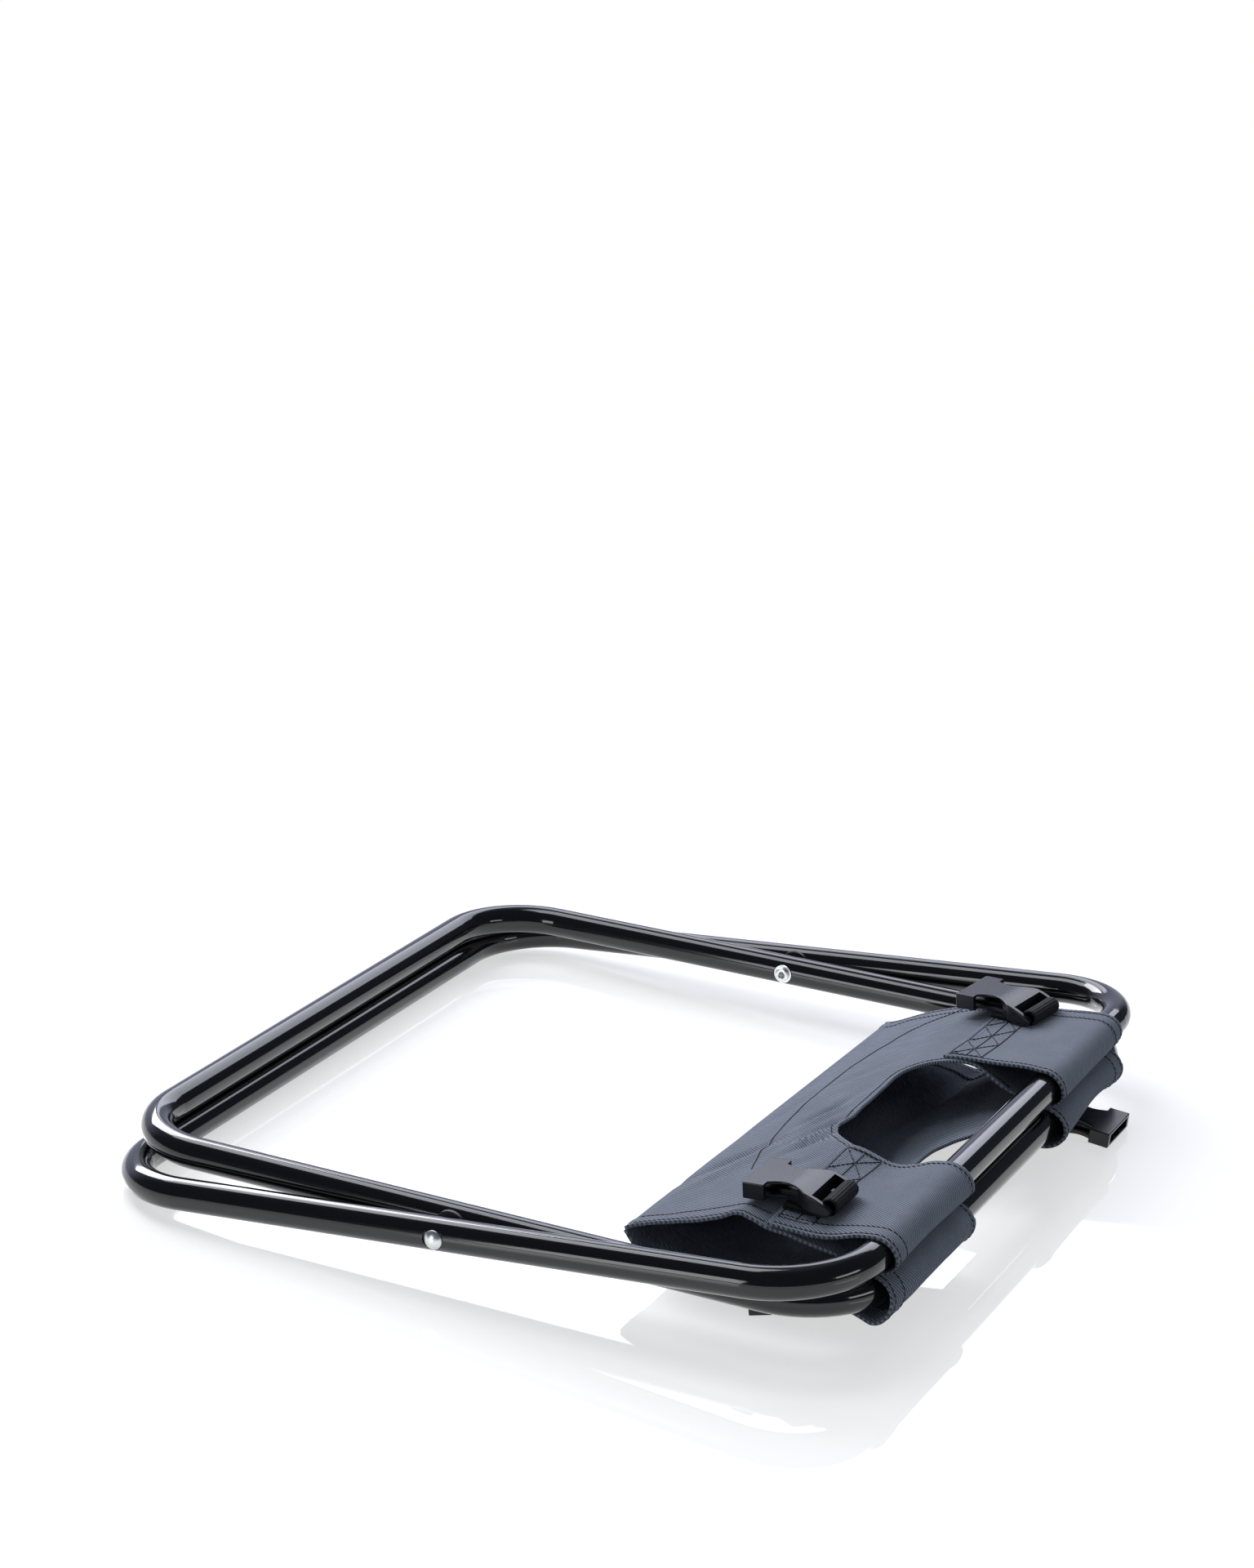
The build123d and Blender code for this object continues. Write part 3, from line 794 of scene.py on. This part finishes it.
# Cloth meshes: two legs, and the panel between the hand grip and the crease, on one set of
# columns. The columns and rows crowd at the hems.
hemValues = {
    "thickness": 1.9,
    "width": 14.0,
    "gripWidth": 5.0,
    "flapWidth": 4.6,
    "thin": 1.0,              # where the cloth leaves the rail
    "thinFrom": 0.4,          # of the turn, before that
    "thinTo": 24,             # past it
}
meshValues = {
    "hemPlaces": (0, 0.7, 1.5, 2.3, 3.0, 3.7, 4.6, 6.4, 8.2, 10, 11.4, 12.0, 12.6, 13.3, 14.1, 14.6, 16.4),
    "gripPlaces": (0, 0.8, 1.8, 2.8, 3.6, 4.4, 5.6, 7.2),
    "columnStep": 2.1,
    "cornerStep": 6,          # degrees
    "gripColumns": 37,
    "flapEdge": (0, 0.8, 1.6, 2.4, 3.2, 4.2, 5.4),
    "flapRows": 28,
    "loopRows": 26,
    "legRows": 22,
    "panelStart": (0, 0.7, 1.5, 2.3, 3.0, 3.7, 4.5, 5.6, 7.0),
    "panelRows": 42,
    "panelEnd": (4.2, 2.8, 1.8, 1.1, 0.6, 0.25, 0),
    "weld": 0.00002,
}


def legColumns(length):
    hem, grip = meshValues["hemPlaces"], meshValues["gripPlaces"]
    run = length - hem[-1] - grip[-1]
    count = int(run / meshValues["columnStep"])
    middle = [hem[-1] + run * k / count for k in range(1, count)]
    return list(hem) + middle + [length - d for d in reversed(grip)]


def layColumns(half):
    nearEdge, farEdge = seatValues["edges"]
    nearGrip, farGrip = seatValues["grip"]
    near = [nearEdge + d for d in legColumns(nearGrip - nearEdge)]
    far = [farEdge - d for d in reversed(legColumns(farEdge - farGrip))]
    corner, gripReach = seatValues["gripRound"], seatValues["gripReach"][half]
    step, count = meshValues["cornerStep"], meshValues["gripColumns"]
    turns = [math.radians(a) for a in range(step, 90, step)]
    bends = [corner * (1 - math.cos(a)) for a in turns]
    reaches = [gripReach - corner * (1 - math.sin(a)) for a in turns]
    straight = farGrip - nearGrip - 2 * corner
    across = [nearGrip + b for b in bends]
    across += [nearGrip + corner + straight * k / count for k in range(count + 1)]
    across += [farGrip - b for b in reversed(bends)]
    start = reaches + [gripReach] * (count + 1) + list(reversed(reaches))
    return near, across, far, start


def layPatch(mesh, flat, half, columns, rowsFor, rowCount):
    before = set(mesh.verts)
    across, along = len(columns) - 1, rowCount - 1
    bmesh.ops.create_grid(mesh, x_segments=across, y_segments=along, size=0.5)
    for vertex in set(mesh.verts) - before:
        column = round((vertex.co.x + 0.5) * across)
        row = round((vertex.co.y + 0.5) * along)
        place = (columns[column], rowsFor(column)[row])
        vertex.co = clothPoint(half, *place)
        flat[vertex] = place


def clothThickness(half, across, along):
    outer, grip = edgeDistances(half, across, along)
    atGrip = grip < hemValues["gripWidth"] and along < clothLength
    hemmed = outer < hemValues["width"] or atGrip or along < hemValues["flapWidth"]
    if not hemmed:
        return seatValues["cloth"]
    thinStart = footAlong - hemValues["thinFrom"] * seatValues["turn"]
    if thinStart < along < footAlong + hemValues["thinTo"]:
        return hemValues["thin"]
    return hemValues["thickness"]


# A bmesh surface, with its thickness at each vertex as a share of the full one, made solid.
def addSheet(name, mesh, thickness, material):
    bmesh.ops.recalc_face_normals(mesh, faces=mesh.faces)
    sheet = bpy.data.objects.new(name, bpy.data.meshes.new(name))
    mesh.to_mesh(sheet.data)
    mesh.free()
    sheet.vertex_groups.new(name="thickness")
    bpy.context.collection.objects.link(sheet)
    wall = sheet.modifiers.new("wall", "SOLIDIFY")
    wall.thickness = thickness / 1000
    wall.offset = 0.0
    wall.vertex_group = "thickness"
    sheet.data.materials.append(material)
    return sheet


def divided(start, end, count):
    return [start + (end - start) * k / count for k in range(1, count + 1)]


def makeSeatHalf(name, half):
    near, middle, far, starts = layColumns(half)
    legEnd = alongBack(seatValues["gripReach"][half] - seatValues["gripRound"])
    flapEdge = list(meshValues["flapEdge"])
    legRows = flapEdge + divided(flapEdge[-1], flapLength, meshValues["flapRows"])
    legRows += divided(flapLength, footAlong, meshValues["loopRows"])
    legRows += divided(footAlong, legEnd, meshValues["legRows"])
    panelStart, panelEnd = meshValues["panelStart"], meshValues["panelEnd"]
    middleCount = meshValues["panelRows"]
    columns = near + middle + far
    panelStarts = [legEnd] * len(near) + [alongBack(reach) for reach in starts] + [legEnd] * len(far)

    def panelRows(column):
        first = panelStarts[column]
        low, high = first + panelStart[-1], clothLength - panelEnd[0]
        middleRows = divided(low, high, middleCount)[:-1]
        return [first + d for d in panelStart] + middleRows + [clothLength - d for d in panelEnd]

    mesh = bmesh.new()
    uvLayer = mesh.loops.layers.uv.new("flat")
    thickness = mesh.verts.layers.deform.verify()
    flat = {}
    layPatch(mesh, flat, half, near, lambda column: legRows, len(legRows))
    layPatch(mesh, flat, half, far, lambda column: legRows, len(legRows))
    layPatch(mesh, flat, half, columns, panelRows, len(panelStart) + middleCount - 1 + len(panelEnd))
    for face in mesh.faces:
        places = [flat[loop.vert] for loop in face.loops]
        # the flap and the loop show the cloth's back, so their ribs slant the other way
        mirrored = -1 if min(place[1] for place in places) < footAlong else 1
        for loop, place in zip(face.loops, places):
            loop[uvLayer].uv = (mirrored * place[0] / 1000, place[1] / 1000)
        face.smooth = True
    for vertex, place in flat.items():
        vertex[thickness][0] = clothThickness(half, *place) / hemValues["thickness"]
    bmesh.ops.remove_doubles(mesh, verts=mesh.verts, dist=meshValues["weld"])
    area = sum(face.calc_area() for face in mesh.faces)
    return addSheet(name, mesh, hemValues["thickness"], slateTwill), area


# stitches: short lengths of thread laid along rows on the flat cloth

stitchValues = {
    "pitch": 3.0,
    "length": 2.45,
    "thread": 0.36,
    "proud": 0.2,
    "gap": 0.15,                     # of the pitch, before each stitch
    "rise": ((0, -0.10), (0.2, 1.0), (0.8, 1.0), (1.0, -0.10)),
}


def sewRow(curve, half, row, values):
    lengths = [0.0]
    for (y0, s0), (y1, s1) in zip(row, row[1:]):
        lengths.append(lengths[-1] + math.hypot(y1 - y0, s1 - s0))

    def at(distance):
        i = next((k for k in range(len(row) - 1) if distance <= lengths[k + 1]), len(row) - 2)
        t = (distance - lengths[i]) / max(lengths[i + 1] - lengths[i], 1e-6)
        return [first + (second - first) * t for first, second in zip(row[i], row[i + 1])]

    count = int(lengths[-1] / values["pitch"])
    for k in range(count):
        start = (k + values["gap"]) * values["pitch"]
        spline = curve.splines.new("POLY")
        spline.points.add(len(values["rise"]) - 1)
        for point, (share, over) in zip(spline.points, values["rise"]):
            across, along = at(start + share * values["length"])
            height = clothThickness(half, across, along) / 2 + values["proud"] * over
            point.co = (*clothPoint(half, across, along, height), 1)


def makeStitches(name, half, rows, values):
    curve = bpy.data.curves.new(name, "CURVE")
    curve.dimensions = "3D"
    curve.bevel_depth = values["thread"] / 1000
    curve.bevel_resolution = 1
    curve.use_fill_caps = True
    for row in rows:
        sewRow(curve, half, row, values)
    drawn = bpy.data.objects.new(name + "Curve", curve)
    bpy.context.collection.objects.link(drawn)
    bpy.context.view_layer.update()
    mesh = bpy.data.meshes.new_from_object(drawn.evaluated_get(bpy.context.evaluated_depsgraph_get()))
    bpy.data.objects.remove(drawn)
    stitches = bpy.data.objects.new(name, mesh)
    bpy.context.collection.objects.link(stitches)
    mesh.materials.clear()
    mesh.materials.append(navyThread)
    return stitches


# Rows of stitches, (across, along). The boxed crosses hold the webbing on the flaps.
sewingValues = {
    "rowEnd": 1.5,               # from the free edge and from the crease
    "pastFoot": 2,
    "backFrom": 64.5,
    "gripFrom": 22.0,
    "boxRows": (2.4, 12.5, 22.5),
    "boxInset": 9,
    "boxFromGrip": 4.5,
    "crossLength": 30,
    "crosses": 3,
    "nearBox": -100,             # a box that starts nearer than this has the grip at its far end
    "seam": (
        (171, 90), (141, 111), (115, 118), (83, 122), (50, 124.5), (19, 125),
        (-10, 123.5), (-40, 120), (-64, 116), (-86, 112), (-106, 108), (-120, 104),
    ),
}


def gripOutline(half, inset):
    nearGrip, farGrip = seatValues["grip"]
    corner = seatValues["gripRound"]
    cornerReach = seatValues["gripReach"][half] - corner
    radius = corner + inset
    outline = [(nearGrip - inset, sewingValues["gripFrom"]), (nearGrip - inset, cornerReach)]
    step = meshValues["cornerStep"]
    for degrees in range(step, 90 + step, step):
        angle = math.radians(degrees)
        y = nearGrip + corner - radius * math.cos(angle)
        outline.append((y, cornerReach + radius * math.sin(angle)))
    mirrored = [(nearGrip + farGrip - y, u) for y, u in reversed(outline)]
    return [(y, alongBack(u)) for y, u in outline + mirrored]


def edgeRows(half):
    nearEdge, farEdge = seatValues["edges"]
    nearGrip, farGrip = seatValues["grip"]
    free, pastFoot = sewingValues["rowEnd"], footAlong + sewingValues["pastFoot"]
    backFrom = alongBack(sewingValues["backFrom"])
    rows = []
    for edge, side in ((nearEdge, 1), (farEdge, -1)):
        for inset in sewnRows["outer"]:
            y = edge + side * inset
            rows.append([(y, free), (y, pastFoot)])
            rows.append([(y, backFrom), (y, clothLength - free)])
    for edge, side in ((nearGrip, -1), (farGrip, 1)):
        y = edge + side * sewnRows["grip"][0]
        rows.append([(y, free), (y, pastFoot)])
    return rows + [gripOutline(half, sewnRows["grip"][0])]


def boxedCrosses(low, high):
    inner, middle, outer = sewingValues["boxRows"]
    rows = [[(low, s), (high, s)] for s in (inner, outer, middle)]
    rows += [[(y, inner), (y, outer)] for y in (low, high)]
    gripEnd, away = (high, -1) if low < sewingValues["nearBox"] else (low, 1)
    length = sewingValues["crossLength"]
    for k in range(sewingValues["crosses"]):
        first, last = gripEnd + away * length * k, gripEnd + away * length * (k + 1)
        rows += [[(first, inner), (last, outer)], [(first, outer), (last, inner)]]
    return rows


def seatRows(half):
    nearEdge, farEdge = seatValues["edges"]
    nearGrip, farGrip = seatValues["grip"]
    inset, fromGrip = sewingValues["boxInset"], sewingValues["boxFromGrip"]
    rows = edgeRows(half)
    rows += boxedCrosses(nearEdge + inset, nearGrip - fromGrip)
    rows += boxedCrosses(farGrip + fromGrip, farEdge - inset)
    return rows + [[(y, alongBack(u)) for y, u in smoothPath(sewingValues["seam"])]]


for half in halves:
    title = half.capitalize()
    cloth, area = makeSeatHalf("seatCloth" + title, half)
    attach(cloth, "seat_" + half)
    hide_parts(f"sleeve_{half}_near", f"sleeve_{half}_far", f"panel_{half}")
    stitches = makeStitches("seatStitches" + title, half, seatRows(half), stitchValues)
    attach(stitches, "seat_" + half)
    faces, threadFaces = len(cloth.data.polygons), len(stitches.data.polygons)
    print("seat", half, "sewn:", faces, "faces,", threadFaces, "in the thread")


# Webbing: one strap doubled round the bar of each buckle, in millimetres from the bar's axis,
# x towards the mouth. A loop is its middle (x, z) and its radius.

strapValues = {
    "width": 30.0,
    "thickness": 1.6,
    "step": 0.4,
    "ribPitch": 1.6,
    "ribHeight": 0.26,           # of the thickness
    "columns": 20,
    "thinEdge": (0.86, 1.0),     # of the half width
    "thinBy": 0.35,
    "apart": 0.82,               # each layer of the tail, from the middle of the two
    "loopFade": (0.5, 8.5),
    "loopSteps": 16,
    "overFlap": 0.55,
    "tailPlaces": (0, -5, -10),  # from the tail's end
    "flapPlaces": (11.5, 8.0),
    "lastPlace": (4.5, 0.62),    # and the share of the height that is left there
    "pathPieces": 8,
}
straps = {
    "upper_near": {"half": "upper", "tail": 26.0, "loop": (-1.4, 0.8, 4.3)},
    "upper_far": {"half": "upper", "tail": 26.0, "loop": (-1.4, 0.8, 4.3)},
    "lower_near": {"half": "lower", "tail": 26.0, "loop": (-0.8, 0.4, 3.6)},
    "lower_far": {
        "half": "lower",
        "loop": (0.0, 0.0, 2.9),
        "thrown": ((37.0, -14.1), (30.0, -14.1), (23.5, -13.9), (18.5, -11.8), (12.0, -7.4), (6.0, -3.4)),
    },
}


def buckleFrame(place, half):
    joint = joints[place + "_buckle_swing"]
    out = halves[half]["outwards"]
    sideways = Vector(joint["axis"]).normalized()
    forward = sideways.cross(out).normalized()
    if forward.dot(halves[half]["toPivot"]) < 0:
        forward = -forward
    return Vector(joint["pos_m"]), forward, sideways, out


def strapMiddle(place, values):
    if "thrown" in values:
        return list(values["thrown"]) + [(0.0, 0.0)]
    origin, forward, sideways, out = buckleFrame(place, values["half"])
    half = halves[values["half"]]
    bar = (origin - half["origin"]).dot(out) * 1000
    points = []
    for reach in [values["tail"] + d for d in strapValues["tailPlaces"]] + list(strapValues["flapPlaces"]):
        spot = origin + forward * reach / 1000 - half["origin"]
        flapHeights = sectionAt(values["half"], spot.y * 1000)[0]
        flap = smoothRow(seatValues["flapPlaces"], flapHeights, spot.dot(half["toPivot"]) * 1000)
        points.append((reach, flap + strapValues["overFlap"] + strapValues["thickness"] - bar))
    lastReach, left = strapValues["lastPlace"]
    return points + [(lastReach, points[-1][1] * left), (0.0, 0.0)]


def strapPath(middle, loop):
    line = smoothPath(middle, strapValues["pathPieces"])
    there, back = [], []
    loopX, loopZ, radius = loop
    apart = strapValues["apart"]
    for (x, z), (nextX, nextZ) in zip(line, line[1:]):
        dx, dz = nextX - x, nextZ - z
        length = math.hypot(dx, dz)
        near = 1 - ease(math.hypot(x, z), *strapValues["loopFade"])
        aside = apart + (radius - apart) * near
        x, z = x + loopX * near, z + loopZ * near
        there.append((x - dz / length * aside, z + dx / length * aside))
        back.append((x + dz / length * aside, z - dx / length * aside))
    x, z = line[-2]
    heading = math.atan2(-z, -x)
    steps = strapValues["loopSteps"]
    arc = []
    for k in range(1, steps):
        turn = heading + math.pi / 2 - math.pi * k / steps
        arc.append((loopX + radius * math.cos(turn), loopZ + radius * math.sin(turn)))
    return there + arc + list(reversed(back))


def evenly(path, step):
    lengths = [0.0]
    for (x0, z0), (x1, z1) in zip(path, path[1:]):
        lengths.append(lengths[-1] + math.hypot(x1 - x0, z1 - z0))
    count = round(lengths[-1] / step)
    xs, zs = zip(*path)
    spots = [lengths[-1] * k / count for k in range(count + 1)]
    return [(smoothRow(lengths, xs, d), smoothRow(lengths, zs, d)) for d in spots], spots


def strapThickness(share, spot):
    values = strapValues
    edge = abs(share - 0.5) * 2
    offset = math.pi if round(share * values["columns"]) % 2 else 0
    rib = math.sin(2 * math.pi * spot / values["ribPitch"] + offset)
    return (1.0 - values["thinBy"] * ease(edge, *values["thinEdge"])) * (1 + values["ribHeight"] * rib)


def makeStrap(name, place, values):
    origin, forward, sideways, out = buckleFrame(place, values["half"])
    path, spots = evenly(strapPath(strapMiddle(place, values), values["loop"]), strapValues["step"])
    rows, columns = len(path) - 1, strapValues["columns"]
    mesh = bmesh.new()
    uvLayer = mesh.loops.layers.uv.new("flat")
    thickness = mesh.verts.layers.deform.verify()
    bmesh.ops.create_grid(mesh, x_segments=columns, y_segments=rows, size=0.5)
    flat = {}
    for vertex in mesh.verts:
        share = vertex.co.x + 0.5
        row = round((vertex.co.y + 0.5) * rows)
        x, z = path[row]
        y = (share - 0.5) * strapValues["width"]
        vertex[thickness][0] = strapThickness(share, spots[row])
        vertex.co = origin + (forward * x + sideways * y + out * z) / 1000
        flat[vertex] = (y / 1000, spots[row] / 1000)
    for face in mesh.faces:
        face.smooth = True
        for loop in face.loops:
            loop[uvLayer].uv = flat[loop.vert]
    return addSheet(name, mesh, strapValues["thickness"], blackWebbing), spots[-1] / 1000


for place, values in straps.items():
    strap, length = makeStrap("webbing" + place.title().replace("_", ""), place, values)
    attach(strap, "seat_" + values["half"])
    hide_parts("webbing_" + place)
    print("strap", place, round(length * 1000), "mm")
